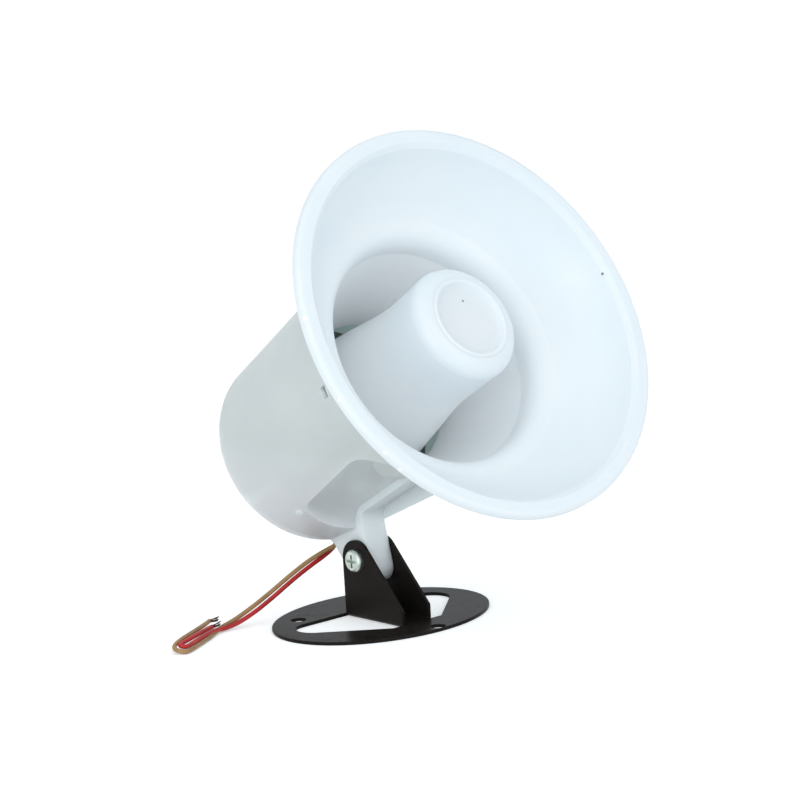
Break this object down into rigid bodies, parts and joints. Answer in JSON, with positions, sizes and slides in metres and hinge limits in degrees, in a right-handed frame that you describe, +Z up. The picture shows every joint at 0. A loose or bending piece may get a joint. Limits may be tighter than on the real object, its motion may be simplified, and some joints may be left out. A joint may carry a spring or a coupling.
{
  "type": "horn loudspeaker",
  "caption": "Small re-entrant horn loudspeaker with a reflector plug in its mouth, tilting on a folded steel foot, with two short bare-ended leads.",
  "frame": {"origin": "middle of the elliptical foot, on its underside", "axes": "+Z up from the mounting surface, +X the level direction the mouth faces, Y along the pivot screw with its head at -Y"},
  "size_m": [0.1499, 0.1485, 0.1702],
  "materials": {
    "white_plastic": "satin",
    "can_plastic": "satin, slightly translucent",
    "black_paint": "gloss",
    "zinc_steel": "zinc plated",
    "magnetic_steel": "plated",
    "ferrite": "matte",
    "driver_plastic": "matte",
    "film": "satin",
    "coil": "lacquered copper winding",
    "clamp": "satin",
    "board": "matte",
    "tag_tin": "tinned",
    "paper_seal": "matte",
    "soft_black": "matte",
    "red_sheath": "satin",
    "brown_sheath": "satin"
  },
  "bodies": {
    "foot": {"bracket": "black_paint", "pivot_screw": "zinc_steel", "pivot_nut": "zinc_steel", "red_wire": "red_sheath", "brown_wire": "brown_sheath", "wire_hank": "red_sheath"},
    "horn": {"bell": "white_plastic", "reflector_plug": "white_plastic", "rear_can": "can_plastic", "throat_tube": "driver_plastic", "gasket": "paper_seal", "clamp_ring": "clamp", "top_plate": "magnetic_steel", "magnet": "ferrite", "yoke": "magnetic_steel", "flange_screws": "zinc_steel", "driver_screws": "zinc_steel", "terminal_board": "board", "solder_tags": "tag_tin", "grommet": "soft_black", "red_inner_lead": "red_sheath", "brown_inner_lead": "brown_sheath"},
    "moving_coil": {"diaphragm": "film", "voice_coil": "coil"}
  },
  "joints": [
    {"name": "horn_tilt", "type": "hinge", "parent": "foot", "child": "horn", "pos_m": [-0.0041, 0, 0.021], "axis": [0, -1, 0], "range_deg": [-66, 58], "deforming": ["red_wire", "brown_wire"]},
    {"name": "coil_travel", "type": "slide", "parent": "horn", "child": "moving_coil", "axis": [0.8738, 0, 0.4863], "range_m": [-0.0003, 0.0003], "stiffness_N_per_m": 1200, "deforming": ["diaphragm"]}
  ]
}
